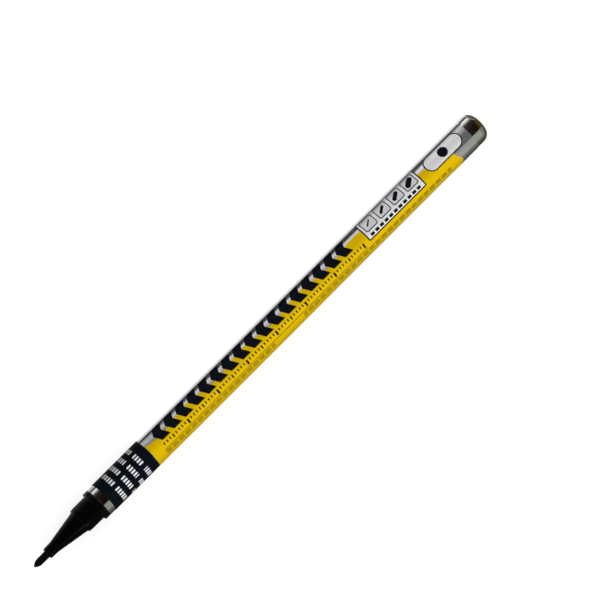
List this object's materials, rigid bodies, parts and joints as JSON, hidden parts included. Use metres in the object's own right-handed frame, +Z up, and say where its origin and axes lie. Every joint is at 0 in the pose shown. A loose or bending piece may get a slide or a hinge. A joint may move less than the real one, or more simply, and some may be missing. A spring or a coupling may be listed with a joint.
{
  "type": "paint marker",
  "caption": "Slim valve-action paint marker with a metal tube, wrapped film label, dark colour band, black tapered nose and a sprung fibre bullet nib.",
  "frame": {"origin": "on the ground under the middle of the marker, which lies on its films", "axes": "+X along the marker from the nib to the closed end, +Z up"},
  "size_m": [0.1524, 0.0082, 0.0082],
  "materials": {
    "tube_metal": "bright drawn metal",
    "label_film": "printed film, yellow over satin silver",
    "band_film": "printed film, navy",
    "nose_plastic": "black moulded plastic, low gloss",
    "nib_fibre": "black bonded fibre",
    "seat_rubber": "moulded rubber",
    "stem_plastic": "natural moulded plastic",
    "spring_steel": "drawn wire",
    "cage_plastic": "white moulded plastic",
    "ball_steel": "ground ball"
  },
  "bodies": {
    "barrel": {"barrel": "tube_metal", "label_wrap": "label_film", "colour_band": "band_film", "nib_holder": "nose_plastic", "valve_seat": "seat_rubber", "valve_spring": "spring_steel", "valve_cage": "cage_plastic"},
    "nib": {"nib": "nib_fibre"},
    "valve_stem": {"valve_stem": "stem_plastic"},
    "mixing_ball": {"mixing_ball": "ball_steel"}
  },
  "joints": [
    {"name": "nib_press", "type": "slide", "parent": "barrel", "child": "nib", "axis": [1, 0, 0], "range_m": [0, 0.0015], "stiffness_N_per_m": 850, "springref_m": -0.001},
    {"name": "valve_press", "type": "slide", "parent": "barrel", "child": "valve_stem", "axis": [1, 0, 0], "range_m": [0, 0.0015], "deforming": ["valve_spring"]},
    {"name": "ball_travel", "type": "slide", "parent": "barrel", "child": "mixing_ball", "axis": [1, 0, 0], "range_m": [-0.0264, 0.0868]}
  ],
  "couplings": [
    {"joint": "valve_press", "follows": "nib_press", "ratio": 1}
  ]
}
